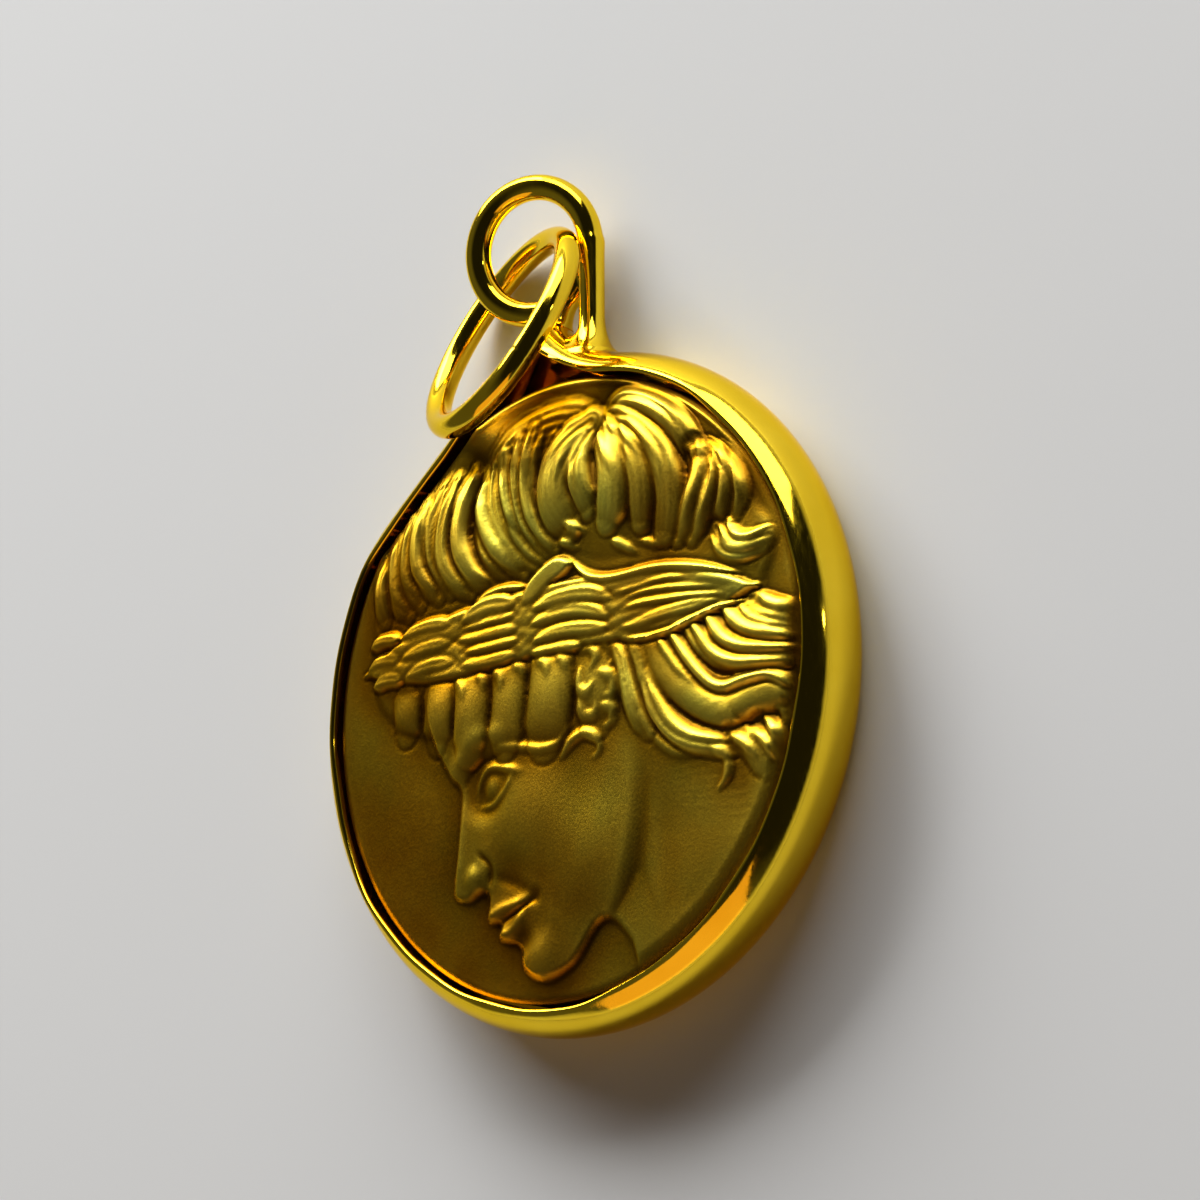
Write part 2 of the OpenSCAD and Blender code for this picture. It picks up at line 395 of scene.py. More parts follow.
# Coin: a struck coin of satin gold with a wreathed head in profile, lying in the rim against the ledge.
# Its face starts as one fine grid pressed round. The head, then the mass of hair, each roll and lock and
# each leaf of the wreath are raised on it in turn, and a skirt and a back close it below.
coin_r = 10.35
coin_base = 0.55
skirt_z = 1.2
chamfer = 0.1
back_in = 0.9
field_z = 2.55
field_wave = 0.015
border_w = 0.55
flat_d = 9.8
flat_from = 7.0
cells = 304
tallest = 1.15
head_edge_h = 0.17
head_dome_h = 0.18
head_dome_r = 3.6
neck_h = 0.13
jaw_h = 0.20
hair_edge_h = 0.06
hair_dome_h = 0.22
hair_dome_r = 4.0
mound_at = (3.0, 5.7)
mound_r = 3.0
mound_h = 0.3
strand_depth = 0.05
roll_overlap = 0.07
roll_cut = 0.03
lock_overlap = 0.03
leaf_overlap = 0.03
leaf_edge = 0.17
leaf_cut = 0.03
rib_h = 0.02
bead_line_h = 0.06
bead_line_in = 0.16
shoulder_h = 0.08
shoulder_w = 0.25

head_at = np.array([0.8, -0.5])
head_scale = 0.97
head_tilt = math.radians(20)

# The head's outline, forward then up from its middle: brow, nose, lips, chin, throat and nape
HEAD = [
    (4.2, 6.2), (5.9, 4.4), (6.5, 2.4), (6.4, 0.9), (6.2, 0.1), (7.2, -1.7), (8.0, -2.9), (7.5, -3.55),
    (6.6, -3.75), (7.0, -4.6), (6.55, -5.0), (6.8, -5.45), (6.1, -6.2), (6.25, -7.0), (5.5, -7.9),
    (4.1, -8.1), (2.4, -7.5), (1.7, -8.8), (1.4, -11.5), (-7.6, -10.6), (-7.0, -7.4), (-6.0, -5.4),
    (-6.0, -3.0), (-6.5, 0.0), (-6.5, 4.0), (-2.0, 7.5),
]

# The mass of the hair, before its locks: crown, back of the head, nape and brow
HAIR = [
    (-8.5, 3.9), (-8.3, 5.2), (-7.3, 6.8), (-6.0, 7.9), (-4.7, 8.6), (-3.8, 8.7), (-3.1, 8.3), (-2.5, 8.6),
    (-1.7, 9.2), (-0.4, 9.6), (1.0, 9.7), (2.2, 9.4), (2.9, 8.9), (3.7, 9.1), (4.8, 9.1), (6.0, 8.4),
    (6.9, 7.3), (7.4, 6.5), (8.2, 6.0), (8.9, 4.9), (9.2, 3.8), (9.9, 2.9), (9.6, 1.9), (9.2, 1.0),
    (10.2, 0.0), (10.3, -1.8), (10.2, -3.0), (8.6, -3.1), (7.2, -3.2), (6.2, -2.9), (6.6, -3.3),
    (8.2, -3.5), (10.0, -3.3), (9.9, -4.7), (9.2, -5.1), (8.2, -4.7), (6.9, -4.2), (5.5, -3.6),
    (4.5, -2.9), (3.6, -2.7), (2.6, -2.2), (1.9, -2.6), (1.2, -2.3), (0.4, -2.4), (-0.6, -2.1),
    (-1.8, -1.7), (-3.2, -1.4), (-4.6, -1.0), (-5.8, -0.4), (-7.2, 0.2), (-8.5, 1.6),
]

# Full rolls of hair: a line of points across the coin, half its width, how far it stands up, and how
# many strands it is combed in
ROLLS = [
    ([(-2.0, 8.5), (-0.9, 8.9), (0.7, 9.0), (2.2, 8.7)], 0.80, 0.05, 5),
    ([(-7.5, 6.5), (-7.8, 5.5), (-7.7, 4.3)], 0.46, 0.20, 3),
    ([(-6.9, 7.1), (-7.0, 6.0), (-6.95, 4.8), (-6.5, 4.2)], 0.46, 0.22, 3),
    ([(-6.2, 7.5), (-6.4, 6.4), (-6.4, 5.3), (-5.9, 4.4)], 0.46, 0.22, 3),
    ([(-5.4, 7.9), (-5.8, 6.7), (-5.75, 5.5), (-5.0, 4.4)], 0.46, 0.26, 3),
    ([(-4.6, 8.2), (-5.1, 7.1), (-5.15, 5.9), (-4.4, 4.4)], 0.42, 0.22, 3),
    ([(-3.9, 8.3), (-4.5, 7.1), (-4.65, 5.7), (-4.1, 4.7), (-3.4, 4.1)], 0.44, 0.24, 3),
    ([(-3.1, 8.3), (-3.6, 7.2), (-3.75, 5.9), (-3.3, 4.8), (-2.5, 4.1)], 0.50, 0.30, 3),
    ([(-2.6, 7.2), (-2.9, 6.2), (-2.6, 5.1), (-1.8, 4.2)], 0.34, 0.24, 2),
    ([(-2.4, 7.9), (-2.6, 6.9), (-2.4, 6.0), (-1.9, 5.1), (-1.0, 4.2)], 0.48, 0.30, 3),
    ([(-2.1, 8.2), (-2.1, 7.2), (-1.9, 6.2), (-1.2, 5.0), (-0.4, 4.2)], 0.40, 0.26, 3),
    ([(-1.7, 8.5), (-1.6, 7.5), (-1.35, 6.4), (-0.9, 5.3), (0.0, 4.3)], 0.42, 0.30, 3),
    ([(-0.9, 8.8), (-1.05, 7.6), (-0.9, 6.4), (-0.45, 5.3), (0.3, 4.4)], 0.38, 0.28, 3),
    ([(-0.2, 9.0), (-0.5, 7.9), (-0.5, 6.6), (-0.15, 5.5), (0.5, 4.5)], 0.40, 0.30, 3),
    ([(3.0, 8.5), (3.7, 8.7), (4.7, 8.4), (5.7, 7.7), (6.3, 6.9), (6.7, 5.9)], 0.60, 0.40, 4),
    ([(7.7, 6.1), (8.3, 5.2), (8.5, 4.3), (8.2, 3.6)], 0.36, 0.22, 2),
    ([(7.2, 6.3), (7.85, 5.4), (7.9, 4.5), (7.4, 3.6)], 0.40, 0.26, 3),
    ([(7.0, 6.2), (7.4, 5.2), (7.1, 4.3), (6.4, 3.3)], 0.44, 0.30, 3),
    ([(6.8, 6.4), (6.9, 5.4), (6.5, 4.5), (5.8, 3.5)], 0.52, 0.36, 3),
    ([(2.9, 8.4), (3.9, 7.9), (5.0, 6.9), (5.6, 5.8), (5.7, 4.8), (5.3, 3.8)], 0.70, 0.56, 5),
    ([(2.9, 8.3), (3.9, 7.3), (4.5, 6.3), (4.65, 5.4), (4.4, 4.4)], 0.62, 0.56, 4),
    ([(2.8, 8.3), (3.3, 7.3), (3.5, 6.4), (3.4, 5.5), (3.0, 4.8)], 0.72, 0.62, 5),
    ([(2.5, 8.4), (2.0, 7.5), (1.95, 6.6), (2.15, 5.4)], 0.56, 0.50, 4),
    ([(2.4, 8.4), (1.3, 7.7), (0.8, 6.9), (0.75, 6.0), (1.2, 5.1)], 0.86, 0.62, 6),
    ([(7.4, 3.4), (7.9, 2.7), (8.7, 2.4), (9.5, 2.6)], 0.46, 0.14, 3),
    ([(-6.9, 1.6), (-7.0, 0.8), (-7.2, 0.2)], 0.66, 0.14, 0),
    ([(-5.3, 1.5), (-5.4, 0.5), (-5.7, -0.4)], 0.80, 0.20, 0),
    ([(-3.7, 1.5), (-3.75, 0.2), (-4.1, -1.2)], 0.82, 0.25, 0),
    ([(-2.0, 1.5), (-2.05, 0.1), (-2.4, -1.4)], 0.82, 0.25, 0),
    ([(0.1, 1.5), (-0.1, 0.1), (-0.6, -1.7)], 1.06, 0.30, 0),
    ([(1.9, 1.0), (1.95, -0.3), (1.7, -1.6)], 0.98, 0.19, 0),
    ([(2.9, 0.8), (3.2, -0.3), (3.4, -1.4), (3.9, -2.5)], 0.48, 0.22, 0),
    ([(3.6, 0.7), (3.9, -0.4), (4.3, -1.5), (4.8, -2.4), (5.5, -3.1), (6.4, -3.55), (7.3, -3.9)],
     0.46, 0.20, 0),
    ([(4.2, 0.5), (4.7, -0.5), (5.4, -1.4), (6.3, -2.2), (7.3, -2.65), (8.4, -2.55), (9.3, -2.6),
      (9.9, -3.1)], 0.60, 0.34, 0),
    ([(5.1, 0.5), (5.8, -0.5), (6.5, -1.4), (7.2, -1.85), (8.2, -1.85), (9.2, -1.95), (10.1, -2.7)],
     0.28, 0.29, 0),
    ([(6.0, 0.5), (6.5, -0.3), (7.1, -0.9), (7.9, -1.25), (9.0, -1.45), (10.4, -1.7)], 0.36, 0.28, 0),
    ([(6.8, 0.6), (7.3, -0.2), (8.2, -0.8), (9.2, -1.1), (10.6, -1.4)], 0.38, 0.26, 0),
    ([(7.6, 0.7), (8.2, 0.0), (9.2, -0.5), (10.6, -0.9)], 0.46, 0.24, 0),
    ([(8.6, 0.7), (9.4, 0.2), (10.6, -0.3)], 0.42, 0.20, 0),
    ([(7.3, -3.4), (8.0, -4.0), (8.6, -4.9)], 0.50, 0.12, 0),
    ([(8.4, -3.3), (9.0, -4.0), (9.6, -4.9)], 0.50, 0.12, 0),
]

# Locks of hair on the rolls, with the same columns
LOCKS = [
    ([(-1.7, 8.7), (-0.8, 9.1), (0.3, 9.2), (1.4, 9.1)], 0.30, 0.04, 2),
    ([(-1.0, 8.6), (-0.1, 8.9), (0.9, 8.9), (2.1, 8.5)], 0.30, 0.04, 2),
    ([(-7.5, 6.4), (-7.75, 5.4), (-7.6, 4.5)], 0.24, 0.09, 2),
    ([(-6.8, 7.0), (-7.0, 6.0), (-6.9, 5.0), (-6.5, 4.4)], 0.24, 0.10, 2),
    ([(-6.1, 7.4), (-6.35, 6.4), (-6.35, 5.4), (-5.9, 4.7)], 0.24, 0.10, 2),
    ([(-5.3, 7.7), (-5.75, 6.6), (-5.7, 5.5), (-5.1, 4.6)], 0.34, 0.20, 1),
    ([(-4.6, 8.0), (-5.05, 7.0), (-5.1, 6.0), (-4.9, 5.2), (-4.4, 4.5)], 0.24, 0.09, 2),
    ([(-3.9, 8.1), (-4.45, 7.0), (-4.6, 5.8), (-4.3, 4.9), (-3.6, 4.3)], 0.26, 0.11, 2),
    ([(-3.1, 8.1), (-3.55, 7.1), (-3.7, 6.0), (-3.3, 4.9), (-2.6, 4.3)], 0.40, 0.22, 1),
    ([(-2.7, 6.9), (-2.8, 6.1), (-2.5, 5.1), (-1.8, 4.4)], 0.18, 0.09, 1),
    ([(-2.5, 7.6), (-2.6, 6.8), (-2.35, 5.9), (-1.85, 5.1), (-1.0, 4.3)], 0.42, 0.24, 1),
    ([(-2.2, 7.9), (-2.1, 7.1), (-1.85, 6.2), (-1.2, 5.1), (-0.5, 4.4)], 0.24, 0.09, 2),
    ([(-1.7, 7.8), (-1.55, 7.1), (-1.3, 6.3), (-0.9, 5.5)], 0.24, 0.16, 1),
    ([(-1.1, 8.5), (-1.1, 7.5), (-0.9, 6.4), (-0.5, 5.4), (0.2, 4.6)], 0.22, 0.10, 2),
    ([(-0.5, 8.8), (-0.6, 7.7), (-0.6, 6.7), (-0.3, 5.6), (0.4, 4.6)], 0.24, 0.15, 1),
    ([(0.2, 8.8), (-0.1, 7.9), (-0.2, 7.0), (-0.1, 6.0)], 0.18, 0.11, 1),
    ([(0.9, 8.7), (0.4, 8.1), (0.1, 7.3)], 0.18, 0.08, 1),
    ([(2.4, 8.2), (1.7, 7.8), (1.25, 7.3), (1.05, 6.7)], 0.20, 0.11, 1),
    ([(2.3, 8.0), (1.8, 7.4), (1.65, 6.7), (1.75, 5.8)], 0.17, 0.15, 1),
    ([(2.5, 8.0), (2.2, 7.3), (2.15, 6.6), (2.3, 5.8)], 0.17, 0.15, 1),
    ([(2.8, 7.9), (3.3, 7.1), (3.7, 6.4), (3.85, 5.7)], 0.18, 0.12, 1),
    ([(3.1, 8.2), (3.9, 7.7), (4.5, 7.1), (4.9, 6.4)], 0.20, 0.11, 1),
    ([(3.2, 8.35), (4.2, 7.95), (5.0, 7.2), (5.5, 6.3), (5.6, 5.4)], 0.22, 0.12, 1),
    ([(3.3, 8.5), (4.4, 8.2), (5.3, 7.4), (5.9, 6.5), (6.0, 5.6)], 0.20, 0.12, 1),
    ([(3.2, 8.7), (4.0, 8.85), (5.0, 8.4), (5.9, 7.6), (6.5, 6.6)], 0.28, 0.10, 2),
    ([(3.4, 8.6), (4.3, 8.5), (5.2, 8.0), (6.0, 7.2), (6.3, 6.4)], 0.24, 0.12, 1),
    ([(6.6, 6.3), (7.0, 6.1), (7.5, 5.9)], 0.30, 0.12, 1),
    ([(6.9, 6.0), (6.95, 5.3), (6.6, 4.6), (6.0, 3.8)], 0.24, 0.10, 1),
    ([(7.2, 6.0), (7.4, 5.2), (7.15, 4.4), (6.6, 3.6)], 0.22, 0.10, 2),
    ([(7.4, 6.1), (7.85, 5.3), (7.9, 4.5), (7.5, 3.8)], 0.20, 0.10, 1),
    ([(7.8, 5.9), (8.3, 5.1), (8.5, 4.4), (8.3, 3.8)], 0.20, 0.10, 1),
    ([(7.9, 3.5), (8.25, 2.95), (8.8, 2.75), (9.5, 2.9)], 0.18, 0.17, 1),
    ([(7.6, 3.3), (7.95, 2.65), (8.6, 2.4), (9.4, 2.5)], 0.16, 0.12, 1),
    ([(7.2, 3.1), (7.6, 2.4), (8.3, 2.1), (9.0, 2.1)], 0.16, 0.10, 1),
    ([(1.2, 5.2), (1.6, 4.95), (2.0, 4.7)], 0.16, 0.15, 1),
    ([(0.7, 4.7), (1.15, 4.5), (1.6, 4.25)], 0.14, 0.13, 1),
    ([(3.1, 4.1), (3.5, 3.85), (4.1, 3.4)], 0.16, 0.13, 1),
    ([(4.3, 3.8), (4.7, 3.6), (5.1, 3.35)], 0.13, 0.10, 1),
    ([(-2.6, -1.4), (-1.5, -1.7), (-0.7, -1.95), (0.1, -1.9), (0.8, -1.3)], 0.15, 0.09, 1),
    ([(0.1, -2.4), (0.6, -2.0), (1.2, -1.9), (1.7, -2.2), (1.75, -2.6), (1.4, -2.8)], 0.18, 0.15, 1),
    ([(1.1, 0.9), (1.7, 0.9), (2.0, 0.5), (1.7, 0.1)], 0.20, 0.10, 1),
    ([(2.1, 0.9), (2.6, 0.8), (2.8, 0.3), (2.5, 0.0)], 0.20, 0.10, 1),
    ([(1.2, 0.2), (1.1, -0.3), (1.5, -0.6), (1.9, -0.3)], 0.20, 0.10, 1),
    ([(2.2, -0.1), (2.7, -0.4), (2.6, -0.9), (2.2, -0.9)], 0.20, 0.10, 1),
    ([(1.1, -0.8), (1.2, -1.3), (1.7, -1.4), (1.9, -1.0)], 0.20, 0.10, 1),
    ([(2.1, -1.2), (2.5, -1.4), (2.4, -1.8), (2.0, -1.9)], 0.18, 0.10, 1),
    ([(-4.5, 1.4), (-4.1, 1.0), (-4.0, 0.5)], 0.18, 0.08, 1),
    ([(-3.4, 1.3), (-3.1, 1.0), (-3.1, 0.6)], 0.16, 0.07, 1),
    ([(-2.7, 1.3), (-2.3, 0.9), (-2.3, 0.4)], 0.18, 0.08, 1),
    ([(-1.7, 1.2), (-1.3, 0.9), (-1.2, 0.5)], 0.16, 0.07, 1),
    ([(-0.6, 1.1), (-0.2, 0.8), (-0.1, 0.3)], 0.18, 0.08, 1),
    ([(0.3, 1.0), (0.6, 0.7), (0.7, 0.3)], 0.16, 0.07, 1),
    ([(2.7, 0.8), (3.1, 0.0), (3.3, -0.9), (3.5, -1.7), (4.0, -2.5)], 0.24, 0.11, 2),
    ([(3.4, 0.7), (3.8, -0.1), (4.0, -0.9), (4.3, -1.6)], 0.22, 0.10, 2),
    ([(4.1, -0.5), (4.5, -1.6), (5.0, -2.5), (5.7, -3.1), (6.6, -3.45), (7.4, -3.7)], 0.17, 0.15, 1),
    ([(3.9, -0.9), (4.3, -2.1), (4.9, -2.95), (5.7, -3.45), (6.6, -3.8), (7.2, -4.1)], 0.17, 0.14, 1),
    ([(3.7, -1.8), (4.2, -2.8), (5.0, -3.5), (5.9, -3.8)], 0.15, 0.09, 1),
    ([(6.5, -3.7), (7.0, -4.1), (6.95, -4.7), (6.5, -5.1)], 0.19, 0.13, 1),
    ([(4.6, 0.6), (5.1, -0.2), (5.6, -0.9), (6.2, -1.6)], 0.15, 0.12, 1),
    ([(5.2, 0.5), (5.7, -0.3), (6.2, -1.0), (6.8, -1.7), (7.4, -2.0), (8.2, -1.95), (9.1, -2.0), (9.8, -2.5),
      (10.1, -3.1)], 0.19, 0.16, 1),
    ([(5.7, 0.5), (6.1, -0.2), (6.6, -0.9), (7.2, -1.4), (7.9, -1.6)], 0.16, 0.11, 1),
    ([(6.1, 0.6), (6.5, 0.0), (7.0, -0.7), (7.8, -1.2), (8.9, -1.45), (10.4, -1.7)], 0.22, 0.16, 1),
    ([(6.7, 0.7), (7.1, 0.0), (7.6, -0.5), (8.5, -0.9), (10.4, -1.35)], 0.22, 0.17, 1),
    ([(7.4, 0.8), (7.8, 0.2), (8.4, -0.3), (9.3, -0.7), (10.4, -1.0)], 0.24, 0.18, 1),
    ([(8.1, 0.8), (8.6, 0.2), (9.4, -0.2), (10.4, -0.6)], 0.22, 0.12, 1),
    ([(9.0, 0.7), (9.6, 0.3), (10.4, 0.0)], 0.22, 0.10, 1),
    ([(7.3, -3.5), (7.9, -3.95), (8.3, -4.5)], 0.17, 0.15, 1),
    ([(7.9, -3.3), (8.6, -4.0), (9.1, -4.8)], 0.18, 0.16, 1),
    ([(8.6, -3.2), (9.2, -3.9), (9.7, -4.7)], 0.18, 0.15, 1),
    ([(9.2, -3.1), (9.7, -3.7), (10.0, -4.2)], 0.17, 0.12, 1),
]

# Leaves and ribbons of the wreath, the first of them the band under the rest: a line of points, half its
# width, how far it stands up, and 1 for a ribbed leaf
LEAVES = [
    ([(-8.9, 2.7), (-4.0, 2.5), (0.0, 2.3), (3.0, 1.9), (6.0, 1.5), (8.8, 1.1)], 1.20, 0.22, 0),
    ([(-8.6, 3.5), (-7.8, 3.6), (-6.8, 3.4)], 0.30, 0.21, 1),
    ([(-8.8, 2.8), (-7.9, 2.9), (-6.8, 2.7)], 0.30, 0.22, 1),
    ([(-8.6, 2.1), (-7.8, 2.2), (-6.8, 2.0)], 0.30, 0.21, 1),
    ([(-7.0, 3.4), (-5.6, 3.5), (-4.2, 3.3)], 0.32, 0.23, 1),
    ([(-7.0, 2.7), (-5.6, 2.75), (-4.3, 2.65)], 0.30, 0.24, 1),
    ([(-6.9, 2.0), (-5.6, 2.1), (-4.2, 1.95)], 0.32, 0.23, 1),
    ([(-3.4, 3.75), (-2.1, 3.85), (-0.8, 3.6)], 0.20, 0.23, 0),
    ([(-4.3, 2.65), (-2.9, 2.45), (-1.1, 2.3)], 0.30, 0.25, 1),
    ([(-4.0, 2.95), (-2.6, 2.9), (-1.2, 2.75)], 0.26, 0.26, 1),
    ([(-4.2, 1.75), (-2.9, 1.55), (-1.3, 1.45)], 0.30, 0.24, 1),
    ([(-4.0, 2.15), (-2.6, 2.0), (-1.1, 1.9)], 0.25, 0.27, 1),
    ([(-4.0, 3.2), (-2.6, 3.4), (-1.2, 3.15)], 0.42, 0.27, 1),
    ([(-1.0, 1.3), (0.3, 1.2), (1.6, 0.95)], 0.26, 0.25, 1),
    ([(-0.9, 1.65), (0.4, 1.7), (1.7, 1.5), (2.9, 1.2)], 0.34, 0.27, 1),
    ([(-1.1, 2.95), (-0.3, 3.55), (0.5, 3.85), (1.3, 3.85)], 0.44, 0.26, 0),
    ([(-0.9, 2.25), (0.7, 2.3), (1.9, 2.05), (2.9, 1.5)], 0.36, 0.28, 1),
    ([(-0.8, 2.75), (0.7, 2.8), (2.0, 2.6), (3.1, 2.1)], 0.36, 0.29, 1),
    ([(2.6, 2.4), (3.8, 2.25), (5.2, 2.25), (6.5, 1.95)], 0.20, 0.25, 0),
    ([(3.0, 2.0), (3.9, 2.05), (5.1, 1.95), (6.4, 1.65), (7.8, 1.3)], 0.18, 0.26, 0),
    ([(2.8, 1.6), (3.9, 1.7), (5.2, 1.55), (6.4, 1.35), (8.0, 1.0)], 0.20, 0.27, 0),
    ([(2.9, 1.15), (3.9, 1.05), (5.1, 1.1), (6.2, 1.05), (7.6, 0.95)], 0.30, 0.24, 1),
    ([(1.0, 4.2), (1.6, 3.5), (2.2, 3.1), (3.1, 2.85), (5.0, 2.7), (6.8, 2.2), (8.3, 1.6)], 0.22, 0.29, 0),
    ([(2.6, 1.2), (3.1, 0.8), (3.9, 0.58), (5.0, 0.5), (6.1, 0.62), (7.3, 0.75), (8.6, 0.7)], 0.17, 0.29, 0),
]

# Soft forms of the face, forward then up from the head's middle: place, radius, and rise or hollow
FACE_FORMS = [
    ((3.3, -2.6), 2.4, 0.13),
    ((1.6, -5.0), 2.6, 0.09),
    ((5.0, 3.0), 2.2, 0.09),
    ((4.95, -0.5), 1.5, -0.20),
    ((4.72, -0.6), 0.78, 0.17),
    ((5.25, -0.62), 0.22, -0.045),
    ((6.72, -3.0), 0.62, 0.12),
    ((5.2, -3.9), 1.3, -0.06),
    ((5.35, -7.1), 1.25, 0.12),
    ((5.75, -6.15), 0.7, -0.07),
    ((4.55, -5.1), 0.45, -0.08),
]

# Lines of the face, in the same frame: points, half width, and rise or cut
FACE_LINES = [
    ([(6.25, 0.7), (5.3, 1.1), (4.2, 1.1), (3.0, 0.4)], 0.62, 0.11),
    ([(6.2, 0.2), (6.8, -1.2), (7.6, -2.8)], 0.50, 0.07),
    ([(5.6, -0.75), (5.15, -0.15), (4.5, 0.02), (3.7, -0.5), (3.2, -0.95)], 0.20, 0.11),
    ([(5.5, -0.9), (4.9, -1.2), (4.2, -1.1), (3.5, -0.8)], 0.16, 0.07),
    ([(5.8, 0.15), (4.8, 0.42), (3.6, 0.05)], 0.16, -0.06),
    ([(6.2, -2.3), (5.95, -3.0), (6.25, -3.6)], 0.17, -0.09),
    ([(7.15, -3.45), (6.7, -3.6)], 0.15, -0.08),
    ([(5.9, -3.4), (5.2, -4.2), (4.5, -5.0)], 0.35, -0.04),
    ([(7.0, -4.6), (6.1, -4.66), (5.0, -5.0)], 0.32, 0.09),
    ([(6.75, -5.4), (6.0, -5.55), (5.2, -5.3)], 0.34, 0.10),
    ([(6.75, -5.0), (5.9, -5.06), (4.6, -5.14)], 0.13, -0.13),
    ([(-1.6, -4.6), (-0.4, -7.0), (0.6, -10.0)], 0.9, 0.05),
]

# The jaw's line, in the same frame, below which the neck lies deeper
JAW = [(4.4, -8.6), (2.6, -7.6), (1.3, -6.7), (0.0, -5.3), (-0.9, -3.6), (-1.1, -2.2)]


def smooth_line(points, steps=10, closed=False):
    """A smooth line through a few chosen points."""
    p = np.array(points, float)
    if closed:
        p = np.vstack([p[-1], p, p[:2]])
    else:
        p = np.vstack([2 * p[0] - p[1], p, 2 * p[-1] - p[-2]])
    t = np.linspace(0, 1, steps, endpoint=False)[:, None]
    stretches = []
    for a, b, c, d in zip(p, p[1:], p[2:], p[3:]):
        bend = t ** 2 * (a - 2.5 * b + 2 * c - 0.5 * d) + t ** 3 * (1.5 * (b - c) + 0.5 * (d - a))
        stretches.append(b + 0.5 * t * (c - a) + bend)
    return np.vstack(stretches + [p[-2:-1]])


def beside(line, xy):
    """Each point's place along a line, from 0 to 1, and its distance to the line's left."""
    run = np.diff(line, axis=0)
    length = np.hypot(run[:, 0], run[:, 1])
    reach = np.concatenate([[0], np.cumsum(length)])
    rel = xy[:, None] - line[:-1]
    t = np.clip((rel * run).sum(2) / length ** 2, 0, 1)
    gap = np.hypot(rel[:, :, 0] - t * run[:, 0], rel[:, :, 1] - t * run[:, 1])
    best = gap.argmin(1)
    row = np.arange(len(xy))
    side = run[best, 0] * rel[row, best, 1] - run[best, 1] * rel[row, best, 0]
    along = (reach[best] + t[row, best] * length[best]) / reach[-1]
    return along, np.where(side < 0, -1, 1) * gap[row, best]


def inside_depth(outline, xy):
    """How deep each point lies inside a closed outline, negative outside it."""
    line = smooth_line(outline, 5, closed=True)
    depth = np.abs(np.concatenate([beside(line, part)[1] for part in np.array_split(xy, 40)]))
    inside = np.zeros(len(xy), bool)
    for a, b in zip(line, np.roll(line, -1, axis=0)):
        crosses = (a[1] > xy[:, 1]) != (b[1] > xy[:, 1])
        if a[1] != b[1]:
            inside ^= crosses & (xy[:, 0] < a[0] + (b[0] - a[0]) * (xy[:, 1] - a[1]) / (b[1] - a[1]))
    return np.where(inside, depth, -depth)


def from_head(points):
    """Turns forward and up from the head's middle into places on the coin."""
    p = head_scale * np.array(points, float)
    c, s = math.cos(head_tilt), math.sin(head_tilt)
    return head_at + np.stack([-p[:, 0] * c - p[:, 1] * s, -p[:, 0] * s + p[:, 1] * c], axis=1)


def near_line(line, xy, reach):
    """Which points lie within reach of a line's box."""
    return np.flatnonzero(np.all((xy > line.min(0) - reach) & (xy < line.max(0) + reach), axis=1))


def raise_roll(xy, form, height, points, half_width, rise, strands):
    """Raises one full roll of hair that sinks towards both ends, combed in strands, with a cut beside it."""
    line = smooth_line(points)
    near = near_line(line, xy, half_width + 0.3)
    along, side = beside(line, xy[near])
    width = half_width * np.minimum(1, np.minimum(0.7 + along / 0.5, 0.75 + (1 - along) / 0.5))
    across = side / width
    arch = np.sin(math.pi * (0.07 + 0.85 * along ** 1.25)) ** 0.95
    body = np.clip(1 - across ** 2, 0, 1)
    comb = 0.5 - 0.5 * np.cos(math.pi * strands * (across + 1))
    groove = strand_depth * body ** 0.5 * (1 - 0.5 * along) * comb
    top = form[near] + rise * arch * body ** 0.55 - groove
    cut = roll_cut * np.clip(1 - (np.abs(side) - width) / 0.12, 0, 1)
    over = np.maximum(top, height[near] - roll_overlap)
    height[near] = np.where(np.abs(across) < 1, over, height[near] - cut)


def raise_lock(xy, form, height, points, half_width, rise, strands):
    """Raises one tapering lock of hair with its strands on a roll."""
    line = smooth_line(points)
    near = near_line(line, xy, half_width * 1.4)
    along, side = beside(line, xy[near])
    taper = np.minimum(1, np.minimum(0.45 + along / 0.35, 0.12 + (1 - along) / 0.4)) ** 0.8
    width = 1.3 * half_width * taper
    across = side / width
    body = np.clip(1 - across ** 2, 0, 1)
    strand = np.abs(np.sin(math.pi * strands * (across + 1) / 2)) ** 0.7
    top = form[near] + rise * taper * body ** 0.6 * (0.3 + 0.7 * strand)
    over = np.maximum(top, height[near] - lock_overlap)
    height[near] = np.where(np.abs(across) < 1, over, height[near])


def raise_leaf(xy, form, height, points, half_width, rise, rib):
    """Raises one flat pointed leaf or ribbon with crisp edges, and its middle rib."""
    line = smooth_line(points)
    near = near_line(line, xy, half_width + 0.3)
    along, side = beside(line, xy[near])
    width = half_width * np.clip(1.05 - np.abs(2 * along - 1) ** 3.5, 0.1, 1)
    edge = ease((width - np.abs(side)) / leaf_edge)
    crease = rib * rib_h * np.cos(2.5 * math.pi * side / width + 3 * along)
    top = form[near] + rise * edge ** 0.8 * (0.93 + 0.06 * side / width) + crease * edge
    cut = leaf_cut * np.clip(1 - (np.abs(side) - width) / 0.1, 0, 1)
    over = np.maximum(top, height[near] - leaf_overlap)
    height[near] = np.where(np.abs(side) < width, over, height[near] - cut)


